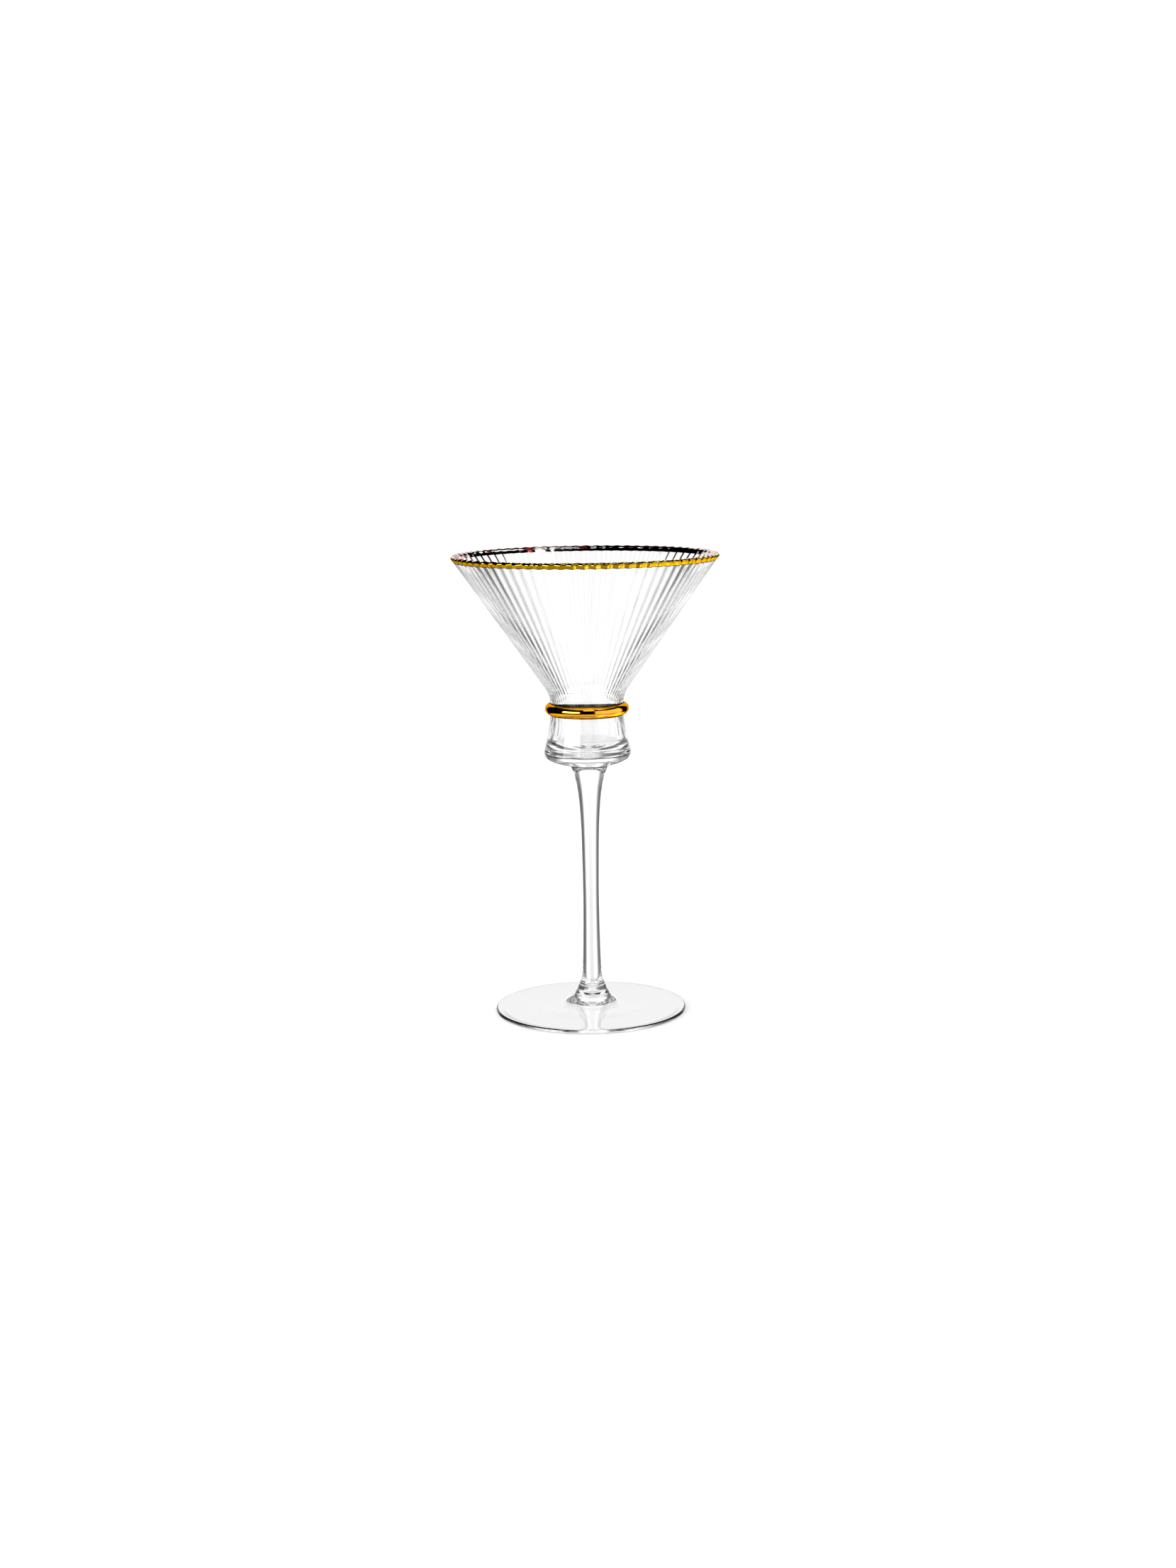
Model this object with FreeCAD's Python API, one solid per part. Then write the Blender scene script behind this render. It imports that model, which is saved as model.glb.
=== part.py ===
import FreeCAD, Part
import math
import os

# Stemmed martini glass, in millimetres, +Z up.
# The origin is on the axis of the glass, in the plane that the foot rests on.
# Every piece is turned about the Z axis; only the cone of the bowl carries upright ribs.

# ---- driving dimensions ----
OVERALL_HEIGHT = 191.5
RIM_RADIUS = 55.0
FOOT_RADIUS = 39.9
NECK_RADIUS = 15.2
WELL_RADIUS = 17.95
STEM_RADIUS = 3.32
STEM_TOP_RADIUS = 8.1
STEM_FOOT_RADIUS = 4.75

STEM_FOOT_Z = 12.6
STEM_WAIST_Z = 46.0
STEM_TOP_Z = 104.6
WELL_SHOULDER_Z = 108.7
WELL_FLOOR_Z = 110.6
RING_BOTTOM_Z = 125.6
RING_TOP_Z = 130.3
RING_BULGE = 2.2
NECK_BEND_RADIUS = 11.0
THROAT_RADIUS = 12.5
THROAT_BEND_RADIUS = 2.5
THROAT_TAPER_DEGREES = 5.3

CONE_SLOPE = 0.7
INNER_CONE_SLOPE = 0.74
LIP_WALL = 1.5
LIP_ROUND = 0.9
NECK_WALL = 1.85
WELL_WALL = 3.1
FLOOR_CORNER = 4.5
FLOOR_CORNER_DEGREES = 80
FLOOR_DISH = 0.7

RIB_COUNT = 75
RIB_DEPTH = 0.5
RIB_CREST_INSET = 0.03

GILDING_THICKNESS = 0.12
RIM_GILDING_HEIGHT = 2.2

FOOT_EDGE_HEIGHT = 1.4
FOOT_REST_INNER_RADIUS = 36.5
FOOT_REST_OUTER_RADIUS = 39.2
FOOT_HOLLOW_DEPTH = 2.5

# ---- derived dimensions of the bare glass, under the gold film ----
GLASS_TOP_Z = OVERALL_HEIGHT - GILDING_THICKNESS
GLASS_RIM_RADIUS = RIM_RADIUS - GILDING_THICKNESS
CREST_RIM_RADIUS = GLASS_RIM_RADIUS - RIB_CREST_INSET
LIP_BASE_Z = GLASS_TOP_Z - LIP_ROUND
LIP_PEAK_RADIUS = GLASS_RIM_RADIUS - LIP_ROUND
LIP_INNER_RADIUS = GLASS_RIM_RADIUS - LIP_WALL * math.hypot(1, CONE_SLOPE)
NECK_INNER_RADIUS = NECK_RADIUS - NECK_WALL
WELL_INNER_RADIUS = WELL_RADIUS - WELL_WALL
RING_MIDDLE_Z = (RING_BOTTOM_Z + RING_TOP_Z) / 2
RIM_GILDING_Z = OVERALL_HEIGHT - RIM_GILDING_HEIGHT


def at(radius, z):
    """A point of a half outline, which lies in the XZ plane."""
    return FreeCAD.Vector(radius, 0, z)


def line(start, end):
    return Part.LineSegment(start, end).toShape()


def arc(start, middle, end):
    return Part.Arc(start, middle, end).toShape()


def smooth(points):
    curve = Part.BSplineCurve()
    curve.interpolate(Points=points)
    return curve.toShape()


def turned(edges):
    """The solid that a closed half outline sweeps in one turn about the Z axis."""
    outline = Part.Face(Part.Wire(edges))
    return outline.revolve(FreeCAD.Vector(0, 0, 0), FreeCAD.Vector(0, 0, 1), 360)


def cone_radius(rim_radius, slope, z):
    """Radius at height z of a cone that has rim_radius at the base of the lip."""
    return rim_radius - slope * (LIP_BASE_Z - z)


def around(centre_radius, centre_z, reach, start_degrees, end_degrees):
    """Start, middle and end of an arc about a centre, where 0 degrees points outwards and 90 up."""
    points = []
    for degrees in (start_degrees, (start_degrees + end_degrees) / 2, end_degrees):
        angle = math.radians(degrees)
        points.append(at(centre_radius + reach * math.cos(angle), centre_z + reach * math.sin(angle)))
    return points


def bend_into_cone(wall_radius, bend_radius, rim_radius, slope, taper_degrees):
    """Start, middle and end of the arc that turns the wall of the neck out into the cone.

    The neck is wall_radius at its narrowest, and widens downwards by taper_degrees.
    """
    crossing_z = LIP_BASE_Z - (rim_radius - wall_radius) / slope
    cone_degrees = math.degrees(math.atan(slope))
    centre_z = crossing_z - bend_radius * math.tan(math.atan(slope) / 2)
    return around(
        wall_radius + bend_radius, centre_z, bend_radius, 180 + taper_degrees, 180 - cone_degrees
    )


def outside_bend():
    return bend_into_cone(NECK_RADIUS, NECK_BEND_RADIUS, CREST_RIM_RADIUS, CONE_SLOPE, 0)


# The ribs start where the outside bend of the neck ends.
RIB_START_Z = outside_bend()[2].z


def lip_outside(film):
    """The rounded outer half of the lip, from its base up to its peak, under a film of gold."""
    reach = LIP_ROUND + film
    diagonal = reach * math.sqrt(0.5)
    return arc(
        at(LIP_PEAK_RADIUS + reach, LIP_BASE_Z),
        at(LIP_PEAK_RADIUS + diagonal, LIP_BASE_Z + diagonal),
        at(LIP_PEAK_RADIUS, LIP_BASE_Z + reach),
    )


def lip_inside(film):
    """The rounded inner half of the lip, from its peak down to its base."""
    across = LIP_PEAK_RADIUS - LIP_INNER_RADIUS + film
    rise = LIP_ROUND + film
    return arc(
        at(LIP_PEAK_RADIUS, LIP_BASE_Z + rise),
        at(LIP_PEAK_RADIUS - across * 0.72, LIP_BASE_Z + rise * 0.66),
        at(LIP_PEAK_RADIUS - across, LIP_BASE_Z),
    )


def well_and_neck():
    """The outside of the well, the neck and the bend into the cone, filled solid."""
    bend_start, bend_middle, bend_end = outside_bend()
    stem_joint = at(STEM_TOP_RADIUS, STEM_TOP_Z)
    underside_end = at(WELL_RADIUS - 1.6, WELL_SHOULDER_Z - 1.8)
    shoulder_end = at(WELL_RADIUS - 0.2, WELL_SHOULDER_Z + 2.1)
    well_top = at(NECK_RADIUS, RING_BOTTOM_Z)
    axis_top = at(0, bend_end.z)
    axis_bottom = at(0, STEM_TOP_Z)
    return turned([
        line(axis_bottom, stem_joint),
        arc(stem_joint, at(13.0, STEM_TOP_Z + 0.8), underside_end),
        arc(underside_end, at(WELL_RADIUS - 0.15, WELL_SHOULDER_Z), shoulder_end),
        arc(shoulder_end, at(NECK_RADIUS + 0.95, 118.4), well_top),
        line(well_top, bend_start),
        arc(bend_start, bend_middle, bend_end),
        line(bend_end, axis_top),
        line(axis_top, axis_bottom),
    ])


def bowl_hollow():
    """The open inside of the cone, the neck and the well."""
    bend_start, bend_middle, bend_end = bend_into_cone(
        THROAT_RADIUS, THROAT_BEND_RADIUS, LIP_INNER_RADIUS, INNER_CONE_SLOPE, THROAT_TAPER_DEGREES
    )
    floor_edge, corner_middle, wall_bottom = around(
        WELL_INNER_RADIUS - FLOOR_CORNER, WELL_FLOOR_Z + FLOOR_CORNER, FLOOR_CORNER, -FLOOR_CORNER_DEGREES, 0
    )
    floor_centre = at(0, WELL_FLOOR_Z - FLOOR_DISH)
    wall_top = at(NECK_INNER_RADIUS, RING_BOTTOM_Z)
    peak = at(LIP_PEAK_RADIUS, GLASS_TOP_Z)
    above = OVERALL_HEIGHT + 5
    return turned([
        arc(floor_centre, at(floor_edge.x / 2, WELL_FLOOR_Z - 0.75 * FLOOR_DISH), floor_edge),
        arc(floor_edge, corner_middle, wall_bottom),
        arc(wall_bottom, at(NECK_INNER_RADIUS + 0.45, 119.8), wall_top),
        line(wall_top, bend_start),
        arc(bend_start, bend_middle, bend_end),
        line(bend_end, at(LIP_INNER_RADIUS, LIP_BASE_Z)),
        lip_inside(0),
        line(peak, at(LIP_PEAK_RADIUS, above)),
        line(at(LIP_PEAK_RADIUS, above), at(0, above)),
        line(at(0, above), floor_centre),
    ])


def rib_outline(crest_radius, depth, z):
    """A closed wavy outline across the ribs: a round crest and a round hollow for each rib."""
    def point(quarter_turns, radius):
        angle = math.pi / 2 / RIB_COUNT * quarter_turns
        return FreeCAD.Vector(radius * math.cos(angle), radius * math.sin(angle), z)

    arcs = []
    for wave in range(2 * RIB_COUNT):
        peak_radius = crest_radius - depth * (wave % 2)
        between_radius = crest_radius - depth / 2
        middle = 2 * wave
        arcs.append(arc(
            point(middle - 1, between_radius),
            point(middle, peak_radius),
            point(middle + 1, between_radius),
        ))
    return Part.Wire(arcs)


def ribbed_block(bottom_z, film):
    """The ribbed cone, filled solid, from bottom_z to above the lip, under a film of gold.

    The ribs have no depth where the neck bend ends, and full depth at the lip.
    """
    outlines = []
    for z in (bottom_z, OVERALL_HEIGHT + 1):
        radius = cone_radius(CREST_RIM_RADIUS, CONE_SLOPE, z) + film * math.hypot(1, CONE_SLOPE)
        depth = RIB_DEPTH * (z - RIB_START_Z) / (LIP_BASE_Z - RIB_START_Z)
        outlines.append(rib_outline(radius, depth, z))
    return Part.makeLoft(outlines, True, True)


def lip_limit():
    """A round block that ends in the outer half of the lip, and that trims the ribs to it."""
    side_foot = at(GLASS_RIM_RADIUS, RIB_START_Z)
    peak = at(LIP_PEAK_RADIUS, GLASS_TOP_Z)
    return turned([
        line(at(0, RIB_START_Z), side_foot),
        line(side_foot, at(GLASS_RIM_RADIUS, LIP_BASE_Z)),
        lip_outside(0),
        line(peak, at(0, GLASS_TOP_Z)),
        line(at(0, GLASS_TOP_Z), at(0, RIB_START_Z)),
    ])


def make_bowl():
    """One blown piece of glass: the ribbed cone, the neck and the well."""
    cone = ribbed_block(RIB_START_Z, 0).common(lip_limit())
    return well_and_neck().fuse(cone).cut(bowl_hollow())


def make_rim_gilding(bowl):
    """The fired gold film that wraps over the lip."""
    film = GILDING_THICKNESS
    outer = at(GLASS_RIM_RADIUS + film, LIP_BASE_Z)
    inner = at(LIP_INNER_RADIUS - film, LIP_BASE_Z)
    outer_hem = at(outer.x, RIM_GILDING_Z)
    inner_hem = at(inner.x - INNER_CONE_SLOPE * (LIP_BASE_Z - RIM_GILDING_Z), RIM_GILDING_Z)
    lip_band = turned([
        line(inner_hem, outer_hem),
        line(outer_hem, outer),
        lip_outside(film),
        lip_inside(film),
        line(inner, inner_hem),
    ])
    return ribbed_block(RIM_GILDING_Z, film).common(lip_band).cut(bowl)


def ring_bead(bulge):
    """A bead of round section laid on the neck."""
    bottom = at(NECK_RADIUS, RING_BOTTOM_Z)
    top = at(NECK_RADIUS, RING_TOP_Z)
    return turned([
        arc(bottom, at(NECK_RADIUS + bulge, RING_MIDDLE_Z), top),
        line(top, bottom),
    ])


def make_neck_ring():
    """The glass trail that is fused round the neck."""
    return ring_bead(RING_BULGE - GILDING_THICKNESS)


def make_neck_ring_gilding(neck_ring):
    """The fired gold film on the outside of the glass trail."""
    return ring_bead(RING_BULGE).cut(neck_ring)


def make_stem():
    """The drawn solid stem, flared where it is stuck to the bowl."""
    side = smooth([
        at(STEM_FOOT_RADIUS, STEM_FOOT_Z),
        at(STEM_RADIUS + 0.68, STEM_FOOT_Z + 3.6),
        at(STEM_RADIUS + 0.28, STEM_FOOT_Z + 14.5),
        at(STEM_RADIUS, STEM_WAIST_Z),
        at(STEM_RADIUS + 0.13, STEM_TOP_Z - 41.5),
        at(STEM_RADIUS + 0.53, STEM_TOP_Z - 24.5),
        at(STEM_RADIUS + 1.45, STEM_TOP_Z - 12.5),
        at(STEM_RADIUS + 2.95, STEM_TOP_Z - 4.8),
        at(STEM_TOP_RADIUS, STEM_TOP_Z),
    ])
    bottom = at(0, STEM_FOOT_Z)
    top = at(0, STEM_TOP_Z)
    return turned([
        line(bottom, at(STEM_FOOT_RADIUS, STEM_FOOT_Z)),
        side,
        line(at(STEM_TOP_RADIUS, STEM_TOP_Z), top),
        line(top, bottom),
    ])


def underside_hollow():
    """The shallow dome under the foot, part of a sphere whose centre is on the axis."""
    radius = FOOT_REST_INNER_RADIUS
    sphere_radius = (radius ** 2 + FOOT_HOLLOW_DEPTH ** 2) / (2 * FOOT_HOLLOW_DEPTH)
    sag = sphere_radius - math.sqrt(sphere_radius ** 2 - (radius / 2) ** 2)
    return arc(at(radius, 0), at(radius / 2, FOOT_HOLLOW_DEPTH - sag), at(0, FOOT_HOLLOW_DEPTH))


def make_foot():
    """The disc foot, with the boss that the stem ends in and a domed underside that follows the top."""
    boss_edge = at(STEM_FOOT_RADIUS, STEM_FOOT_Z)
    disc_edge = at(FOOT_RADIUS - 1.0, FOOT_EDGE_HEIGHT)
    rest_outer = at(FOOT_REST_OUTER_RADIUS, 0)
    rest_inner = at(FOOT_REST_INNER_RADIUS, 0)
    hollow_top = at(0, FOOT_HOLLOW_DEPTH)
    boss_top = at(0, STEM_FOOT_Z)
    return turned([
        line(boss_top, boss_edge),
        smooth([
            boss_edge,
            at(5.4, 10.7),
            at(6.15, 8.8),
            at(7.3, 6.8),
            at(8.6, 5.2),
            at(10.4, 4.35),
            at(13.5, 4.05),
            at(22.0, 3.35),
            disc_edge,
        ]),
        arc(disc_edge, at(FOOT_RADIUS, FOOT_EDGE_HEIGHT / 2), rest_outer),
        line(rest_outer, rest_inner),
        underside_hollow(),
        line(hollow_top, boss_top),
    ])


def save(name, shape):
    """Write one piece as one STEP file."""
    solid = shape.Solids[0]
    print(f"{name}: solids {len(shape.Solids)}, valid {solid.isValid()}, {solid.Volume / 1000:.2f} cm3")
    solid.exportStep(f"parts/{name}.step")


os.makedirs("parts", exist_ok=True)
bowl = make_bowl()
neck_ring = make_neck_ring()
save("bowl", bowl)
save("rim_gilding", make_rim_gilding(bowl))
save("neck_ring", neck_ring)
save("neck_ring_gilding", make_neck_ring_gilding(neck_ring))
save("stem", make_stem())
save("foot", make_foot())
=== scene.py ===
import math

import bpy
from mathutils import Matrix, Vector


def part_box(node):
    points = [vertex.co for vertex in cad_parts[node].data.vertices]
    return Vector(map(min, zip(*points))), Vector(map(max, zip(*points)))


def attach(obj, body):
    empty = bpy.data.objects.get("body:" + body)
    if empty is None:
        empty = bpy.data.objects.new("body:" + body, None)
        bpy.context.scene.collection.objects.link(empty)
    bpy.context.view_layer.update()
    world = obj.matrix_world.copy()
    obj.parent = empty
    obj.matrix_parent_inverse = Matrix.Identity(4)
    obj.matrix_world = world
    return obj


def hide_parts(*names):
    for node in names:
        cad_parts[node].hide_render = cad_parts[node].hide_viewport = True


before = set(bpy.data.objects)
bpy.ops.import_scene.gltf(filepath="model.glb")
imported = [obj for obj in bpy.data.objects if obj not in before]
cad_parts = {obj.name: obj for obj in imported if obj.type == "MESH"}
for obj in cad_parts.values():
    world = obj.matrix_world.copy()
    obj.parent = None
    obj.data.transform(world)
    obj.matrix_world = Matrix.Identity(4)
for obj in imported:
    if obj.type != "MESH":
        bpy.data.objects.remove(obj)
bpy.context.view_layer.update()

# Stemmed martini glass: clear ribbed glass with a gilded lip and a gilded ring round the neck.
# Everything is in metres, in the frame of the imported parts: the origin is on the axis of the bowl,
# in the plane that the foot rests on. MM turns millimetres into metres.
MM = 0.001


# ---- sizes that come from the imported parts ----
def lowest(node):
    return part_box(node)[0]


def highest(node):
    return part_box(node)[1]


GLASS_TOP = highest("bowl")[2]
RIM_RADIUS = (highest("bowl")[0] - lowest("bowl")[0]) / 2
STEM_TOP = highest("stem")[2]
STEM_FOOT = lowest("stem")[2]
STEM_TOP_RADIUS = highest("stem")[0]
RING_BOTTOM = lowest("neck_ring_gilding")[2]
RING_TOP = highest("neck_ring_gilding")[2]
RING_RADIUS = highest("neck_ring_gilding")[0]
FOOT_RADIUS = highest("foot")[0]
GILDING_BOTTOM = lowest("rim_gilding")[2]

# ---- sizes inside those boxes, the same as the parts' own ----
# Slopes are radius gained for each step up.
CONE_SLOPE = 0.7
INNER_CONE_SLOPE = 0.74
LIP_ROUND = 0.9 * MM
LIP_WALL = 1.83 * MM
NECK_RADIUS = 15.2 * MM
NECK_WALL = 1.85 * MM
NECK_BEND = 11.0 * MM
THROAT_RADIUS = 12.5 * MM
THROAT_BEND = 2.5 * MM
THROAT_TAPER_DEGREES = 5.3
WELL_RADIUS = 17.95 * MM
WELL_WALL = 3.1 * MM
WELL_FLOOR = STEM_TOP + 6.0 * MM
FLOOR_CORNER = 4.5 * MM
FLOOR_CORNER_DEGREES = 80
FLOOR_DISH = 0.7 * MM
STEM_RADIUS = 3.32 * MM
STEM_FOOT_RADIUS = 4.75 * MM
FOOT_EDGE_HEIGHT = 1.4 * MM
FOOT_EDGE_INSET = 1.0 * MM
FOOT_REST_INSET = 0.7 * MM
FOOT_REST_INNER = 36.5 * MM
FOOT_HOLLOW = 2.5 * MM
FILM = 0.12 * MM

# ---- detail that the plain parts leave out ----
RIB_COUNT = 75
RIB_DEPTH = 0.5 * MM
RIB_FADE = 7 * MM            # how far above the ring the ribs reach their full depth
LIP_REACH = 4.5 * MM         # how far below the lip the ribs also show on the inside
LIP_INSIDE_SHARE = 0.6       # the depth of those, as a share of the ribs outside
HEM_WAVE = 0.1 * MM          # how far the lip and the gold's lower edge rise and fall with the ribs
SHADE_LINE_WIDTH = 0.3 * MM         # the width of the near-black painted shade line that runs past the ring onto the neck, in place of the ring's shadow and dark reflection in the neck glass
SHADE_LINE_LIFT = 0.05 * MM
WELL_WAVE = 0.05 * MM
WELL_WAVES = 31
WELL_WAVE_RISE = 9 * MM      # how far above the floor the waves reach their full depth
STEM_OFFSET = 0.65 * MM      # the stem stands a little off the axis of the bowl
JOINT_GAP = 0.015 * MM       # fused pieces stand this far apart, so that their faces never coincide

STEPS_PER_RIB = 12
RIBBED_STEPS = RIB_COUNT * STEPS_PER_RIB
ROUND_STEPS = 240

CAMERA_AZIMUTH = 135

# ---- derived ----
LIP_BASE = GLASS_TOP - LIP_ROUND
LIP_PEAK_RADIUS = RIM_RADIUS - LIP_ROUND
LIP_INNER_RADIUS = RIM_RADIUS - LIP_WALL
NECK_INNER = NECK_RADIUS - NECK_WALL
WELL_INNER = WELL_RADIUS - WELL_WALL
WELL_UNDER_END = (WELL_RADIUS - 1.6 * MM, STEM_TOP + 2.3 * MM)


# ---- camera ----
def add_camera():
    """Looks at the glass from a little above, rolled slightly about its own axis."""
    sensor = 36.0
    lens = 51.5913
    distance = 0.934
    look_height = 0.0961
    tilt_down = math.radians(9.634)
    roll = math.radians(0.786)
    heading = math.radians(CAMERA_AZIMUTH + 180)
    forward = Vector((
        math.cos(heading) * math.cos(tilt_down),
        math.sin(heading) * math.cos(tilt_down),
        -math.sin(tilt_down),
    ))
    right = forward.cross(Vector((0, 0, 1))).normalized()
    up = right.cross(forward)
    right_rolled = right * math.cos(roll) - up * math.sin(roll)
    up_rolled = up * math.cos(roll) + right * math.sin(roll)
    data = bpy.data.cameras.new("camera")
    data.sensor_width = sensor
    data.lens = lens
    data.clip_start = 0.01
    camera = bpy.data.objects.new("camera", data)
    axes = Matrix((right_rolled, up_rolled, -forward)).transposed().to_4x4()
    camera.matrix_world = Matrix.Translation(Vector((0, 0, look_height)) - forward * distance) @ axes
    bpy.context.scene.collection.objects.link(camera)
    bpy.context.scene.camera = camera


add_camera()


# ---- outlines: lists of (radius, height) ----
def line(start, end, count=2):
    return [
        (start[0] + (end[0] - start[0]) * i / (count - 1), start[1] + (end[1] - start[1]) * i / (count - 1))
        for i in range(count)
    ]


def arc(centre, radius, start_degrees, end_degrees, count):
    """Points on a circle about centre, where 0 degrees points outwards and 90 up."""
    points = []
    for i in range(count):
        angle = math.radians(start_degrees + (end_degrees - start_degrees) * i / (count - 1))
        points.append((centre[0] + radius * math.cos(angle), centre[1] + radius * math.sin(angle)))
    return points


def circle_centre(start, middle, end):
    """The centre of the circle through three points."""
    (ax, ay), (bx, by), (cx, cy) = start, middle, end
    d = 2 * (ax * (by - cy) + bx * (cy - ay) + cx * (ay - by))
    a2, b2, c2 = ax * ax + ay * ay, bx * bx + by * by, cx * cx + cy * cy
    x = (a2 * (by - cy) + b2 * (cy - ay) + c2 * (ay - by)) / d
    y = (a2 * (cx - bx) + b2 * (ax - cx) + c2 * (bx - ax)) / d
    return x, y


def through(start, middle, end, count):
    """Points on the circle through three points, from the first to the last."""
    x, y = circle_centre(start, middle, end)
    first, mid, last = (math.atan2(point[1] - y, point[0] - x) for point in (start, middle, end))
    turn = (last - first) % (2 * math.pi)
    if (mid - first) % (2 * math.pi) > turn:
        turn -= 2 * math.pi
    radius = math.hypot(start[0] - x, start[1] - y)
    points = []
    for i in range(count):
        angle = first + turn * i / (count - 1)
        points.append((x + radius * math.cos(angle), y + radius * math.sin(angle)))
    return points


def smooth(points, count):
    """Catmull-Rom curve through the points, count steps to each span."""
    ends = [tuple(2 * points[0][k] - points[1][k] for k in (0, 1))]
    ends += points
    ends.append(tuple(2 * points[-1][k] - points[-2][k] for k in (0, 1)))
    curve = []
    for before, here, there, after in zip(ends, ends[1:], ends[2:], ends[3:]):
        for step in range(count):
            t = step / count
            curve.append(tuple(
                0.5 * (2 * here[k] + (there[k] - before[k]) * t
                       + (2 * before[k] - 5 * here[k] + 4 * there[k] - after[k]) * t * t
                       + (3 * here[k] - 3 * there[k] + after[k] - before[k]) * t ** 3)
                for k in (0, 1)
            ))
    curve.append(points[-1])
    return curve


def ease(value, start, end):
    """0 at start, 1 at end, smooth between and level outside. end may be below start."""
    t = min(1.0, max(0.0, (value - start) / (end - start)))
    return t * t * (3 - 2 * t)


# ---- turned meshes ----
def outline_rows(runs, ring):
    """The rows of points that runs of (surface, points) make, each row's surface, and the rows between runs."""
    rows, surfaces, sharp_rows = [], [], set()
    for surface, points in runs:
        if rows:
            sharp_rows.add(len(rows) - 1)
            points = points[1:]
        rows += points
        surfaces += [surface] * len(points)
    if ring:
        rows.pop()
        surfaces = [surfaces.pop()] + surfaces[1:]
        sharp_rows.add(0)
    return rows, surfaces, sharp_rows


def row_vertices(rows, steps, ripple):
    """All vertices, where each row starts and how many it has. A row on the axis is one vertex."""
    vertices, starts, sizes = [], [], []
    for radius, height in rows:
        starts.append(len(vertices))
        if radius < 1e-9:
            sizes.append(1)
            vertices.append((0.0, 0.0, height))
            continue
        sizes.append(steps)
        for s in range(steps):
            angle = 2 * math.pi * s / steps
            r, z = ripple(radius, height, angle) if ripple else (radius, height)
            vertices.append((r * math.cos(angle), r * math.sin(angle), z))
    return vertices, starts, sizes


def row_faces(start, next_start, size, next_size, steps):
    """The faces between two rows."""
    faces = []
    for s in range(steps):
        n = (s + 1) % steps
        if size == 1:
            faces.append((start, next_start + n, next_start + s))
        elif next_size == 1:
            faces.append((start + s, start + n, next_start))
        else:
            faces.append((start + s, start + n, next_start + n, next_start + s))
    return faces


def mark_sharp(mesh, row_starts, steps):
    """Breaks the normals along whole rows."""
    sharp = mesh.attributes.new("sharp_edge", "BOOLEAN", "EDGE")
    flags = []
    for edge in mesh.edges:
        a, b = edge.vertices
        flags.append(any(start <= a < start + steps and start <= b < start + steps for start in row_starts))
    sharp.data.foreach_set("value", flags)


def turned(name, runs, steps, ripple=None, ring=False):
    """A mesh turned about the Z axis from runs of (surface, points), in order round the outline.

    surface is the material's index. Runs meet end to end, and the normals break between them.
    ripple gives a point's new (radius, height) from its (radius, height, angle).
    ring closes the outline on itself.
    """
    rows, surfaces, sharp_rows = outline_rows(runs, ring)
    vertices, starts, sizes = row_vertices(rows, steps, ripple)
    pairs = [(i, i + 1) for i in range(len(rows) - 1)]
    if ring:
        pairs.append((len(rows) - 1, 0))
    faces, indices = [], []
    for i, j in pairs:
        faces += row_faces(starts[i], starts[j], sizes[i], sizes[j], steps)
        indices += [surfaces[j]] * steps
    mesh = bpy.data.meshes.new(name)
    mesh.from_pydata(vertices, [], faces)
    mesh.polygons.foreach_set("material_index", indices)
    mesh.polygons.foreach_set("use_smooth", [True] * len(faces))
    mark_sharp(mesh, [starts[row] for row in sharp_rows if sizes[row] > 1], steps)
    mesh.update()
    piece = bpy.data.objects.new(name, mesh)
    bpy.context.scene.collection.objects.link(piece)
    return piece


def lean(piece, weight):
    """Moves points from the bowl's axis towards the stem's. weight is from 0 to 1, by (radius, height)."""
    heading = math.radians(CAMERA_AZIMUTH + 90)
    for vertex in piece.data.vertices:
        share = weight(math.hypot(vertex.co.x, vertex.co.y), vertex.co.z) * STEM_OFFSET
        vertex.co.x += share * math.cos(heading)
        vertex.co.y += share * math.sin(heading)


def settle(piece, node, materials):
    """Gives a piece its materials, and lets it stand for a CAD node."""
    for material in materials:
        piece.data.materials.append(material)
    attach(piece, "root")
    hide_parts(node)


# ---- materials ----
def new_material(name):
    material = bpy.data.materials.new(name)
    material.use_nodes = True
    return material, material.node_tree, material.node_tree.nodes["Principled BSDF"]


def cloud(tree, scale, detail=2.0):
    """Soft noise over the piece, from 0 to 1. scale is in cells per metre."""
    coords = tree.nodes.new("ShaderNodeTexCoord")
    noise = tree.nodes.new("ShaderNodeTexNoise")
    noise.inputs["Scale"].default_value = scale
    noise.inputs["Detail"].default_value = detail
    tree.links.new(coords.outputs["Object"], noise.inputs["Vector"])
    return noise.outputs["Fac"]


def spread(tree, factor, low, high, start=0.35, end=0.65):
    """A number that runs from low to high as factor runs from start to end."""
    node = tree.nodes.new("ShaderNodeMapRange")
    node.inputs["From Min"].default_value = start
    node.inputs["From Max"].default_value = end
    node.inputs["To Min"].default_value = low
    node.inputs["To Max"].default_value = high
    tree.links.new(factor, node.inputs["Value"])
    return node.outputs["Result"]


def tones(tree, factor, first, second, start=0.47, end=0.6):
    """A colour that runs from first to second as factor runs from start to end."""
    ramp = tree.nodes.new("ShaderNodeValToRGB")
    low, high = ramp.color_ramp.elements
    low.position, low.color = start, (*first, 1)
    high.position, high.color = end, (*second, 1)
    tree.links.new(factor, ramp.inputs[0])
    return ramp.outputs["Color"]


def dents(tree, shader, factor, depth):
    """Very shallow waves in the surface."""
    bump = tree.nodes.new("ShaderNodeBump")
    bump.inputs["Strength"].default_value = 1.0
    bump.inputs["Distance"].default_value = depth
    tree.links.new(factor, bump.inputs["Height"])
    tree.links.new(bump.outputs["Normal"], shader.inputs["Normal"])


def crystal_tint(tree, shader):
    """Colourless, with a trace of green in places."""
    tint = tones(tree, cloud(tree, 60), (0.992, 0.996, 0.994), (1, 1, 1))
    tree.links.new(tint, shader.inputs["Base Color"])


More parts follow.
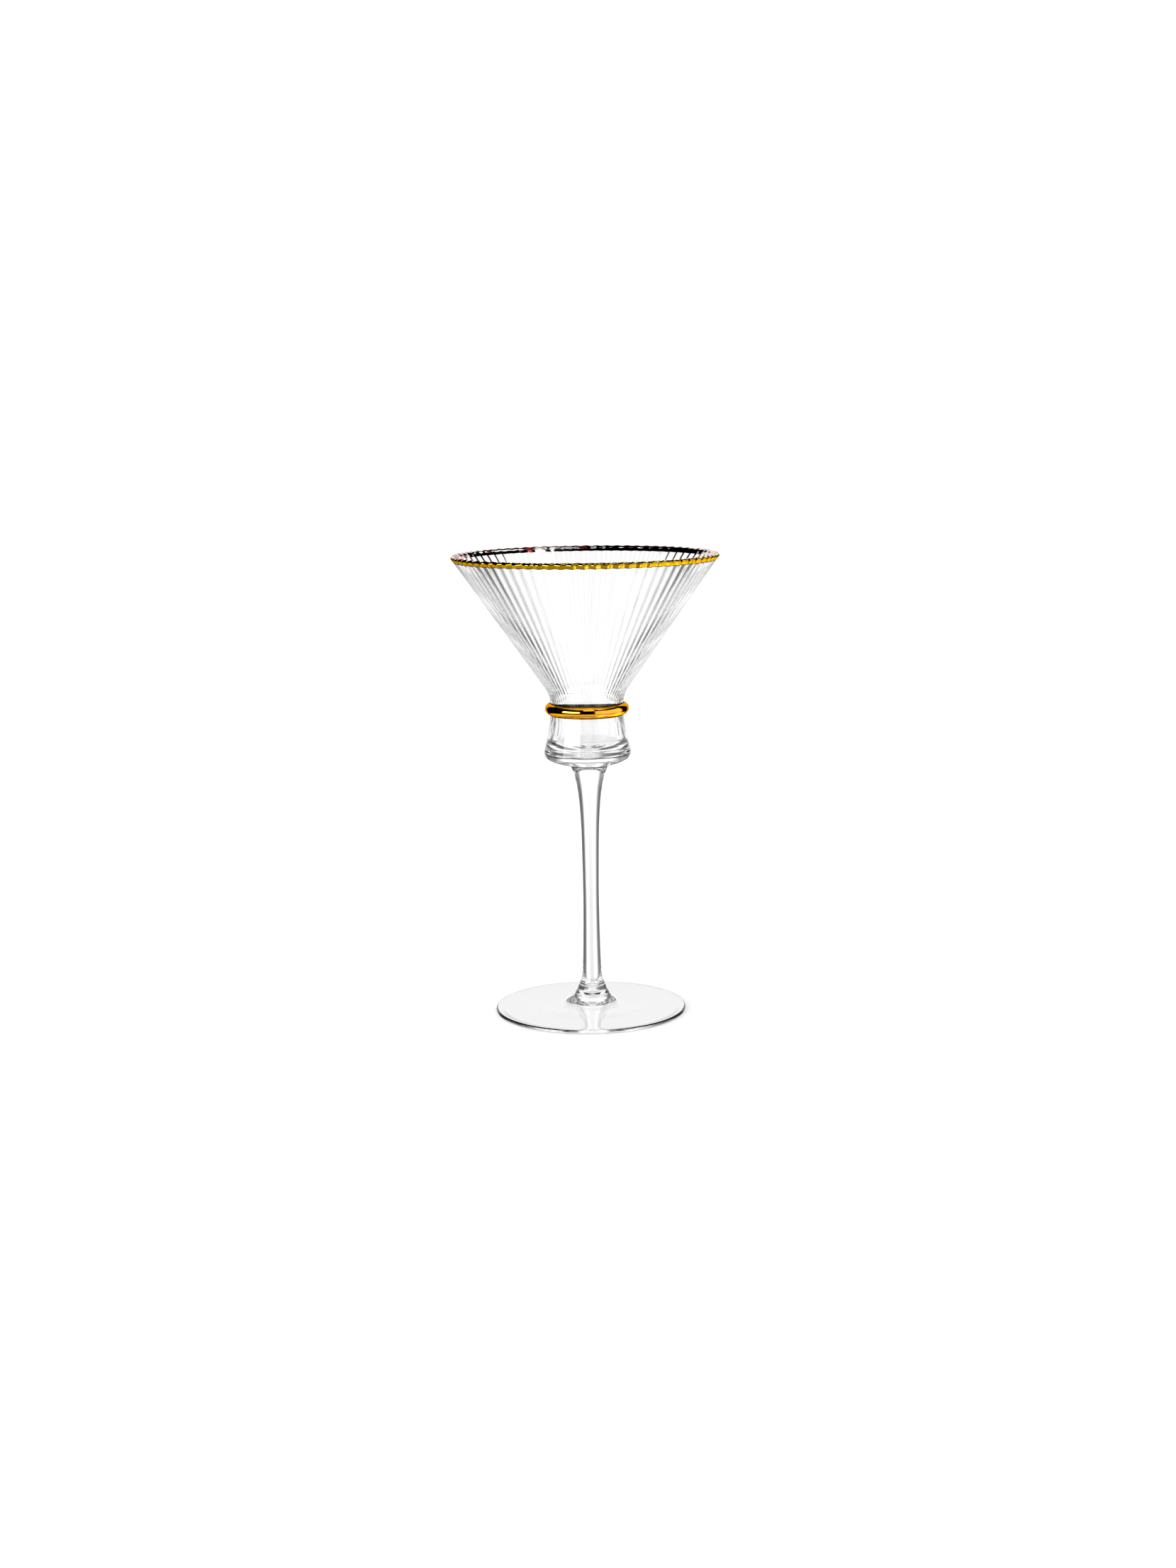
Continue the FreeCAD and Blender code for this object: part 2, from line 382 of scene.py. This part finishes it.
def glass_material():
    """Clear crystal with the faint unevenness of a surface that cooled in the air."""
    material, tree, shader = new_material("clear_glass")
    crystal_tint(tree, shader)
    tree.links.new(spread(tree, cloud(tree, 400), 0.0, 0.012), shader.inputs["Roughness"])
    dents(tree, shader, cloud(tree, 130), 0.012 * MM)
    shader.inputs["IOR"].default_value = 1.5
    shader.inputs["Transmission Weight"].default_value = 1.0
    return material


def joint_material():
    """Where two pieces of glass are fused, light passes without bending."""
    material, tree, shader = new_material("fused_joint")
    crystal_tint(tree, shader)
    shader.inputs["Roughness"].default_value = 0.0
    shader.inputs["IOR"].default_value = 1.0
    shader.inputs["Transmission Weight"].default_value = 1.0
    return material


def gold_material(name, tint, second_tint, edge_tint, patch_scale, roughness):
    """Polished metal in patches of two tints: fired gold, and also the near-white copy with painted highlight
    and the near-black painted shade film. roughness is the smoothest and the dullest.
    """
    material, tree, shader = new_material(name)
    patches = cloud(tree, patch_scale, 3.0)
    tree.links.new(tones(tree, patches, tint, second_tint), shader.inputs["Base Color"])
    tree.links.new(spread(tree, cloud(tree, 900), *roughness), shader.inputs["Roughness"])
    dents(tree, shader, cloud(tree, 350), 0.01 * MM)
    shader.inputs["Metallic"].default_value = 1.0
    shader.inputs["Specular Tint"].default_value = (*edge_tint, 1)
    return material


glass = glass_material()
joint = joint_material()
ring_gold = gold_material(
    "ring_gold", tint=(1.0, 0.42, 0.03), second_tint=(1.0, 0.48, 0.045),
    edge_tint=(1.0, 0.6, 0.12), patch_scale=150, roughness=(0.04, 0.07))
rim_gold = gold_material(
    "rim_gold", tint=(0.58, 0.325, 0.008), second_tint=(0.68, 0.365, 0.012),
    edge_tint=(1.0, 0.6, 0.12), patch_scale=120, roughness=(0.04, 0.09))
# Painted highlight and painted reflection: the lip's top and inside are gold tinted near-white, so that its
# reflections read white, with dark red patches standing in for red glints.
lip_gold_painted_highlight = gold_material(
    "lip_gold_painted_highlight", tint=(0.96, 0.92, 0.88), second_tint=(0.2, 0.03, 0.02),
    edge_tint=(1.0, 0.9, 0.85), patch_scale=260, roughness=(0.04, 0.08))
# Painted shade: a near-black film for the gold's back against the glass and for the ring's strips along the
# neck, so that gilding seen through the glass reads as dark bands instead of gold.
painted_shade_film = gold_material(
    "painted_shade_film", tint=(0.03, 0.02, 0.012), second_tint=(0.06, 0.035, 0.015),
    edge_tint=(0.1, 0.07, 0.04), patch_scale=200, roughness=(0.2, 0.35))

# The material indices of the glass pieces, and those of the gold pieces.
GLASS, JOINT = 0, 1
# BACK takes the near-black painted shade film, LIP the near-white gold with painted highlight.
FRONT, LIP, BACK = 0, 1, 2


# ---- the bowl ----
def cone_height(radius, rim_radius, slope):
    return LIP_BASE - (rim_radius - radius) / slope


def bend_reach(bend_radius, degrees):
    """How far a bend's arc starts before the corner that it rounds."""
    return bend_radius * math.tan(math.radians(degrees) / 2)


def outer_bend(count):
    """The arc that turns the upright neck out into the cone."""
    angle = math.degrees(math.atan(CONE_SLOPE))
    height = cone_height(NECK_RADIUS, RIM_RADIUS, CONE_SLOPE) - bend_reach(NECK_BEND, angle)
    return arc((NECK_RADIUS + NECK_BEND, height), NECK_BEND, 180, 180 - angle, count)


def throat(count):
    """The narrowest place inside, where the tapering well opens into the cone."""
    angle = math.degrees(math.atan(INNER_CONE_SLOPE))
    height = cone_height(THROAT_RADIUS, LIP_INNER_RADIUS, INNER_CONE_SLOPE) - bend_reach(THROAT_BEND, angle)
    centre = (THROAT_RADIUS + THROAT_BEND, height)
    return arc(centre, THROAT_BEND, 180 + THROAT_TAPER_DEGREES, 180 - angle, count)


def lip_inside(across, rise, count):
    """A quarter of an ellipse, from just past the lip's peak down to the inner wall."""
    points = []
    for i in range(1, count + 1):
        turn = i * math.pi / (2 * count)
        points.append((LIP_PEAK_RADIUS - across * math.sin(turn), LIP_BASE + rise * math.cos(turn)))
    return points


def rib_wave(radius, height, angle):
    """How far the outside lies below the crest of its rib."""
    fade = min(1.0, max(0.0, (height - RING_TOP) / RIB_FADE))
    depth = RIB_DEPTH * radius / RIM_RADIUS * fade
    return depth * (1 - math.cos(RIB_COUNT * angle)) / 2


def well_wave(height, angle):
    """Lazy waves on the inside of the well, with the mould's ribs almost melted away."""
    drift = math.sin(420 * height + 3 * angle)
    slow = math.cos(WELL_WAVES * angle + 2.4 * math.sin(300 * height))
    fine = math.cos(RIB_COUNT * angle + 1.6 * drift)
    rise = ease(height, WELL_FLOOR + FLOOR_CORNER - 1.5 * MM, WELL_FLOOR + WELL_WAVE_RISE)
    return WELL_WAVE * (slow + 0.3 * fine) * rise


def below_ring(radius, height, angle):
    """The outside stays round below the ring's top. The inside of the well is wavy."""
    if radius >= NECK_RADIUS - 0.2 * MM:
        return radius, height
    inner = min(1.0, max(0.0, (radius - THROAT_RADIUS) / (1.5 * MM)))
    return radius + inner * well_wave(height, angle), height


def bowl_ripple(radius, height, angle):
    """The ribs are on the outside of the cone. Near the lip, melted round, they also show on the inside."""
    if height < RING_TOP:
        return below_ring(radius, height, angle)
    inside = LIP_INNER_RADIUS - INNER_CONE_SLOPE * (LIP_BASE - height)
    near_lip = min(1.0, max(0.0, 1 - (GLASS_TOP - height) / LIP_REACH))
    share = min(1.0, max(0.0, (radius - inside) / (LIP_WALL - LIP_ROUND)))
    wave = rib_wave(radius, height, angle)
    lift = HEM_WAVE * near_lip * math.cos(RIB_COUNT * angle)
    return radius - share * wave + (1 - share) * LIP_INSIDE_SHARE * near_lip * wave, height - lift


def gilding_hems(film):
    """Where the rim's gold ends on the outer and the inner wall, with film more on each."""
    depth = LIP_BASE - GILDING_BOTTOM
    outer = (RIM_RADIUS + film - CONE_SLOPE * depth, GILDING_BOTTOM)
    inner = (LIP_INNER_RADIUS - film - INNER_CONE_SLOPE * depth, GILDING_BOTTOM)
    return outer, inner


def well_outside():
    """From the stem, round under the well and up its side to the ring."""
    shoulder_end = (WELL_RADIUS - 0.2 * MM, STEM_TOP + 6.2 * MM)
    under = through((STEM_TOP_RADIUS, STEM_TOP), (13.0 * MM, STEM_TOP + 0.8 * MM), WELL_UNDER_END, 8)
    shoulder = through(WELL_UNDER_END, (WELL_RADIUS - 0.15 * MM, STEM_TOP + 4.1 * MM), shoulder_end, 12)
    waist = (NECK_RADIUS + 0.95 * MM, STEM_TOP + 13.8 * MM)
    side = through(shoulder_end, waist, (NECK_RADIUS, RING_BOTTOM), 14)
    return under + shoulder[1:] + side[1:]


def well_inside():
    """From the ring's height down the inside of the well, round its corner and across the floor."""
    wall_bottom = (WELL_INNER, WELL_FLOOR + FLOOR_CORNER)
    waist = (NECK_INNER + 0.45 * MM, STEM_TOP + 15.2 * MM)
    side = through((NECK_INNER, RING_BOTTOM), waist, wall_bottom, 14)
    corner_centre = (WELL_INNER - FLOOR_CORNER, WELL_FLOOR + FLOOR_CORNER)
    corner = arc(corner_centre, FLOOR_CORNER, 0, -FLOOR_CORNER_DEGREES, 12)
    half_way = (corner[-1][0] / 2, WELL_FLOOR - 0.75 * FLOOR_DISH)
    floor = through(corner[-1], half_way, (0, WELL_FLOOR - FLOOR_DISH), 8)
    return side + corner[1:] + floor[1:]


def make_bowl():
    outside = well_outside()
    inside = well_inside()
    flare = outer_bend(10)
    inside_bend = throat(8)
    outer_hem, inner_hem = gilding_hems(0)
    ring_top = (NECK_RADIUS, RING_TOP)
    lip_outer = line(outer_hem, (RIM_RADIUS, LIP_BASE), 4)
    lip_outer += arc((LIP_PEAK_RADIUS, LIP_BASE), LIP_ROUND, 0, 90, 7)[1:]
    lip_inner = lip_inside(LIP_PEAK_RADIUS - LIP_INNER_RADIUS, LIP_ROUND, 8)
    cone_inner = line(inner_hem, inside_bend[-1], 24) + inside_bend[-2::-1]
    runs = [
        (JOINT, line((0, STEM_TOP), outside[0], 3)),
        (GLASS, outside),
        (JOINT, line(outside[-1], ring_top, 4)),
        (GLASS, line(ring_top, flare[0]) + flare[1:] + line(flare[-1], outer_hem, 24)[1:]),
        (JOINT, lip_outer + lip_inner + line(lip_inner[-1], inner_hem, 4)[1:]),
        (GLASS, cone_inner + line(inside_bend[0], inside[0], 8)[1:] + inside[1:]),
    ]
    piece = turned("bowl_glass", runs, RIBBED_STEPS, bowl_ripple)
    lean(piece, lambda r, z: ease(r, WELL_UNDER_END[0], STEM_TOP_RADIUS) if z < WELL_UNDER_END[1] else 0)
    settle(piece, "bowl", [glass, joint])


# ---- the stem and the foot ----
def make_stem():
    side = smooth([
        (STEM_FOOT_RADIUS, STEM_FOOT),
        (STEM_RADIUS + 0.68 * MM, STEM_FOOT + 3.6 * MM),
        (STEM_RADIUS + 0.28 * MM, STEM_FOOT + 14.5 * MM),
        (STEM_RADIUS, STEM_FOOT + 33.4 * MM),
        (STEM_RADIUS + 0.13 * MM, STEM_TOP - 41.5 * MM),
        (STEM_RADIUS + 0.53 * MM, STEM_TOP - 24.5 * MM),
        (STEM_RADIUS + 1.45 * MM, STEM_TOP - 12.5 * MM),
        (STEM_RADIUS + 2.95 * MM, STEM_TOP - 4.8 * MM),
        (STEM_TOP_RADIUS, STEM_TOP),
    ], 8)
    runs = [
        (JOINT, line((0, STEM_FOOT + JOINT_GAP), side[0], 3)),
        (GLASS, side),
        (JOINT, line(side[-1], (0, STEM_TOP - JOINT_GAP), 3)),
    ]
    piece = turned("stem_glass", runs, ROUND_STEPS)
    lean(piece, lambda r, z: 1)
    settle(piece, "stem", [glass, joint])


def foot_dome(count):
    """The hollow under the foot, a parabola from its rest ring in to the axis."""
    points = []
    for i in range(count):
        share = 1 - i / (count - 1)
        points.append((FOOT_REST_INNER * share, FOOT_HOLLOW * (1 - share ** 2)))
    return points


def make_foot():
    boss_edge = (STEM_FOOT_RADIUS, STEM_FOOT)
    disc_edge = (FOOT_RADIUS - FOOT_EDGE_INSET, FOOT_EDGE_HEIGHT)
    rest_outer = (FOOT_RADIUS - FOOT_REST_INSET, 0)
    top = smooth([
        boss_edge,
        (5.3 * MM, 11.1 * MM),
        (5.85 * MM, 9.8 * MM),
        (6.15 * MM, 8.7 * MM),
        (7.0 * MM, 7.4 * MM),
        (7.4 * MM, 6.4 * MM),
        (8.6 * MM, 5.15 * MM),
        (10.4 * MM, 4.35 * MM),
        (13.5 * MM, 4.05 * MM),
        (22.0 * MM, 3.35 * MM),
        disc_edge,
    ], 8)
    dome = foot_dome(13)[::-1]
    rest = line((FOOT_REST_INNER, 0), rest_outer, 4)
    edge = through(disc_edge, (FOOT_RADIUS, FOOT_EDGE_HEIGHT / 2), rest_outer, 12)[::-1]
    runs = [
        (GLASS, dome + rest[1:] + edge[1:] + top[::-1][1:]),
        (JOINT, line(boss_edge, (0, STEM_FOOT), 3)),
    ]
    piece = turned("foot_glass", runs, ROUND_STEPS)
    lean(piece, lambda r, z: ease(z, 3.9 * MM, 6.0 * MM))
    settle(piece, "foot", [glass, joint])


# ---- the ring and the gold ----
def bead(bulge, count):
    """The round outside of the ring, from its bottom to its top."""
    middle = (NECK_RADIUS + bulge, (RING_BOTTOM + RING_TOP) / 2)
    return through((NECK_RADIUS, RING_BOTTOM), middle, (NECK_RADIUS, RING_TOP), count)


RING_BULGE = RING_RADIUS - NECK_RADIUS
RING_BACK = NECK_RADIUS + JOINT_GAP


def make_ring_glass():
    core = bead(RING_BULGE - FILM, 24)
    inset = 2 * JOINT_GAP
    back = [core[-1], (RING_BACK, RING_TOP - inset), (RING_BACK, RING_BOTTOM + inset), core[0]]
    piece = turned("neck_ring_glass", [(JOINT, core), (JOINT, back)], ROUND_STEPS, ring=True)
    settle(piece, "neck_ring", [glass, joint])


def make_ring_gold():
    """The film over the bead. Its back, against the glass, and a strip at both ends are near-black painted
    shade: the strips run on along the neck as dark lines in place of the ring's shadow and dark reflection in
    the neck glass.
    """
    outer = bead(RING_BULGE, 28)
    inner = bead(RING_BULGE - FILM + JOINT_GAP, 24)
    shade_line_front = NECK_RADIUS + SHADE_LINE_LIFT
    lowest_edge = RING_BOTTOM - SHADE_LINE_WIDTH
    highest_edge = RING_TOP + SHADE_LINE_WIDTH
    # Near-black strips below and above the ring: painted shade lines on the neck.
    lower_shade_line = [(RING_BACK, lowest_edge), (shade_line_front, lowest_edge), (shade_line_front, RING_BOTTOM)]
    upper_shade_line = [(shade_line_front, RING_TOP), (shade_line_front, highest_edge), (RING_BACK, highest_edge)]
    runs = [
        (BACK, lower_shade_line + outer[1:2]),
        (FRONT, outer[1:-1]),
        (BACK, outer[-2:-1] + upper_shade_line + inner[::-1]),
        (BACK, [inner[0], lower_shade_line[0]]),
    ]
    piece = turned("neck_ring_gold", runs, ROUND_STEPS, ring=True)
    settle(piece, "neck_ring_gilding", [ring_gold, lip_gold_painted_highlight, painted_shade_film])


def lip_layer(film):
    """From the outer hem over the lip to the inner hem, a film's thickness off the glass."""
    outer_hem, inner_hem = gilding_hems(film)
    outside = line(outer_hem, (RIM_RADIUS + film, LIP_BASE), 6)
    outside += arc((LIP_PEAK_RADIUS, LIP_BASE), LIP_ROUND + film, 0, 90, 9)[1:]
    inside = lip_inside(LIP_PEAK_RADIUS - LIP_INNER_RADIUS + film, LIP_ROUND + film, 8)
    return outside + inside + line(inside[-1], inner_hem, 6)[1:]


def make_rim_gold():
    outer = lip_layer(FILM)
    back = lip_layer(JOINT_GAP)[::-1]
    lip_start = 8    # the row, three eighths of the way up the lip's outside, where the near-white gold with painted highlight and painted red glints begins
    runs = [
        (FRONT, outer[:lip_start + 1]),
        (LIP, outer[lip_start:]),
        # The film's back, against the glass, is near-black painted shade: seen through the glass the gilding
        # reads dark.
        (BACK, line(outer[-1], back[0])),
        (BACK, back),
        (FRONT, line(back[-1], outer[0])),
    ]
    piece = turned("rim_gold", runs, RIBBED_STEPS, bowl_ripple, ring=True)
    settle(piece, "rim_gilding", [rim_gold, lip_gold_painted_highlight, painted_shade_film])


make_bowl()
make_stem()
make_foot()
make_ring_glass()
make_ring_gold()
make_rim_gold()


# ---- floor ----
def add_floor():
    """A matt white table that only the camera and diffuse light meet."""
    reach = 3.0
    corners = [(-reach, -reach, 0), (reach, -reach, 0), (reach, reach, 0), (-reach, reach, 0)]
    mesh = bpy.data.meshes.new("floor")
    mesh.from_pydata(corners, [], [(0, 1, 2, 3)])
    floor = bpy.data.objects.new("floor", mesh)
    bpy.context.scene.collection.objects.link(floor)
    floor.location.z = -0.1 * MM
    material, tree, shader = new_material("floor")
    white = tones(tree, cloud(tree, 4), (0.976, 0.977, 0.978), (0.982, 0.982, 0.982))
    tree.links.new(white, shader.inputs["Base Color"])
    tree.links.new(spread(tree, cloud(tree, 30), 0.85, 0.95), shader.inputs["Roughness"])
    shader.inputs["Specular IOR Level"].default_value = 0.0
    mesh.materials.append(material)
    floor.visible_transmission = False
    floor.visible_glossy = False


# ---- studio ----
# Brightness seen through the glass, by degrees from straight behind it: a white set with a greyer middle,
# black flags at both sides, and a narrow flag at each side of the camera.
BACKDROP = (
    (0, 0.68), (8, 0.68), (13, 1.0), (21, 0.95), (28, 0.55), (36, 0.12), (102, 0.1), (110, 0.68),
    (145, 0.68), (149, 0.14), (164, 0.14), (168, 0.68),
)
BACKDROP_BAND = (-72, 60, 12)
BEYOND_BACKDROP = 0.68
# Bands that dim it: how much, then (lowest, highest, softness) in degrees of elevation.
DIMMED_BANDS = ((0.45, (36, 62, 8)), (0.12, (-95, -11, 4)), (0.2, (-62, -40, 6)))
THROUGH_GLASS = 1.5
PLAIN_WHITE = 1.02    # a touch over 1, so that floor and background are the same pure white


class Studio:
    """Builds the light round the glass from bands of elevation and sectors of azimuth, in degrees."""

    def __init__(self, tree):
        self.tree = tree
        coords = tree.nodes.new("ShaderNodeTexCoord")
        split = tree.nodes.new("ShaderNodeSeparateXYZ")
        tree.links.new(coords.outputs["Generated"], split.inputs[0])
        azimuth = self.work("ARCTAN2", split.outputs["Y"], split.outputs["X"])
        elevation = self.work("ARCSINE", split.outputs["Z"])
        self.azimuth = self.work("MULTIPLY", azimuth, 180 / math.pi)
        self.elevation = self.work("MULTIPLY", elevation, 180 / math.pi)

    def work(self, operation, *inputs):
        """The result of a math node."""
        node = self.tree.nodes.new("ShaderNodeMath")
        node.operation = operation
        for i, value in enumerate(inputs):
            if hasattr(value, "links"):
                self.tree.links.new(value, node.inputs[i])
            else:
                node.inputs[i].default_value = value
        return node.outputs[0]

    def inverse(self, value):
        return self.work("SUBTRACT", 1.0, value)

    def within(self, away, low, high, soft):
        """1 where away is under half the width, with soft edges."""
        ramp = self.work("SUBTRACT", (high - low) / 2 + soft / 2, away)
        ramp = self.work("DIVIDE", ramp, soft)
        ramp.node.use_clamp = True
        return ramp

    def turned_from(self, azimuth):
        """Degrees round from an azimuth, either way."""
        offset = self.work("SUBTRACT", self.azimuth, azimuth)
        return self.work("ABSOLUTE", self.work("WRAP", offset, 180.0, -180.0))

    def band(self, low, high, soft):
        """1 between two elevations."""
        away = self.work("ABSOLUTE", self.work("SUBTRACT", self.elevation, (low + high) / 2))
        return self.within(away, low, high, soft)

    def sector(self, left, right, soft):
        """1 between two azimuths. 0 is towards the camera and 90 is at its right."""
        away = self.turned_from(CAMERA_AZIMUTH + (left + right) / 2)
        return self.within(away, left, right, soft)

    def card(self, left, right, low, high, soft):
        return self.work("MULTIPLY", self.sector(left, right, soft), self.band(low, high, soft))

    def total(self, parts):
        """The sum of (brightness, shape) parts."""
        result = None
        for brightness, shape in parts:
            part = self.work("MULTIPLY", shape, brightness)
            result = part if result is None else self.work("ADD", result, part)
        return result


def backdrop(studio):
    """What the glass shows through itself: edges and ribs read dark where they bend light to the flags."""
    behind = studio.turned_from(CAMERA_AZIMUTH + 180)
    fall = studio.tree.nodes.new("ShaderNodeValToRGB")
    ramp = fall.color_ramp
    ramp.interpolation = "LINEAR"
    for degrees, level in BACKDROP[1:-1]:
        ramp.elements.new(degrees / 180)
    for element, (degrees, level) in zip(ramp.elements, BACKDROP):
        element.position = degrees / 180
        element.color = (level, level, level, 1)
    studio.tree.links.new(studio.work("DIVIDE", behind, 180.0), fall.inputs[0])
    upright = studio.band(*BACKDROP_BAND)
    sides = studio.work("MULTIPLY", fall.outputs[0], upright)
    beyond = studio.work("MULTIPLY", studio.inverse(upright), BEYOND_BACKDROP)
    light = studio.work("ADD", sides, beyond)
    for share, band in DIMMED_BANDS:
        dimming = studio.inverse(studio.work("MULTIPLY", studio.band(*band), share))
        light = studio.work("MULTIPLY", light, dimming)
    return studio.work("MULTIPLY", light, THROUGH_GLASS)


def mirrored_cards(studio):
    """What the gold and the surface of the glass mirror: a black set with bright cards."""
    return studio.total((
        (0.86, studio.card(146, 214, -20, 38, 6)),
        (7.0, studio.card(-70, -21, -2, 21, 3)),
        (1.2, studio.card(23, 112, -22, 34, 5)),
        (0.55, studio.band(-95, -58, 6)),
        (0.9, studio.band(-56, -26, 8)),
        (0.6, studio.band(-95, -80, 4)),
        (0.9, studio.card(98, 152, -60, -22, 6)),
        (2.0, studio.card(50, 90, -72, -50, 6)),
        (2.5, studio.card(-12, 24, 44, 54, 4)),
        (3.0, studio.card(40, 80, 54, 64, 4)),
    ))


def add_world():
    """Plain white for the camera and diffuse light, the backdrop for refracted rays, the cards for the rest."""
    world = bpy.data.worlds.new("studio")
    bpy.context.scene.world = world
    world.use_nodes = True
    tree = world.node_tree
    tree.nodes.clear()
    studio = Studio(tree)
    through_glass = backdrop(studio)
    mirrored = mirrored_cards(studio)
    path = tree.nodes.new("ShaderNodeLightPath")
    refracted = path.outputs["Is Transmission Ray"]
    bounced = studio.work("GREATER_THAN", path.outputs["Diffuse Depth"], 0.5)
    plain = studio.work("MAXIMUM", path.outputs["Is Camera Ray"], bounced)
    special = studio.work(
        "ADD",
        studio.work("MULTIPLY", through_glass, refracted),
        studio.work("MULTIPLY", mirrored, studio.inverse(refracted)),
    )
    special = studio.work("MULTIPLY", special, studio.inverse(plain))
    strength = studio.work("ADD", studio.work("MULTIPLY", plain, PLAIN_WHITE), special)
    background = tree.nodes.new("ShaderNodeBackground")
    background.inputs["Color"].default_value = (1, 1, 1, 1)
    tree.links.new(strength, background.inputs["Strength"])
    output = tree.nodes.new("ShaderNodeOutputWorld")
    tree.links.new(background.outputs[0], output.inputs["Surface"])


def set_light_paths():
    """Enough bounces for light to cross every wall of the glass."""
    scene = bpy.context.scene
    scene.view_settings.view_transform = "Standard"
    scene.cycles.max_bounces = 32
    scene.cycles.transmission_bounces = 32
    scene.cycles.glossy_bounces = 12


add_floor()
add_world()
set_light_paths()
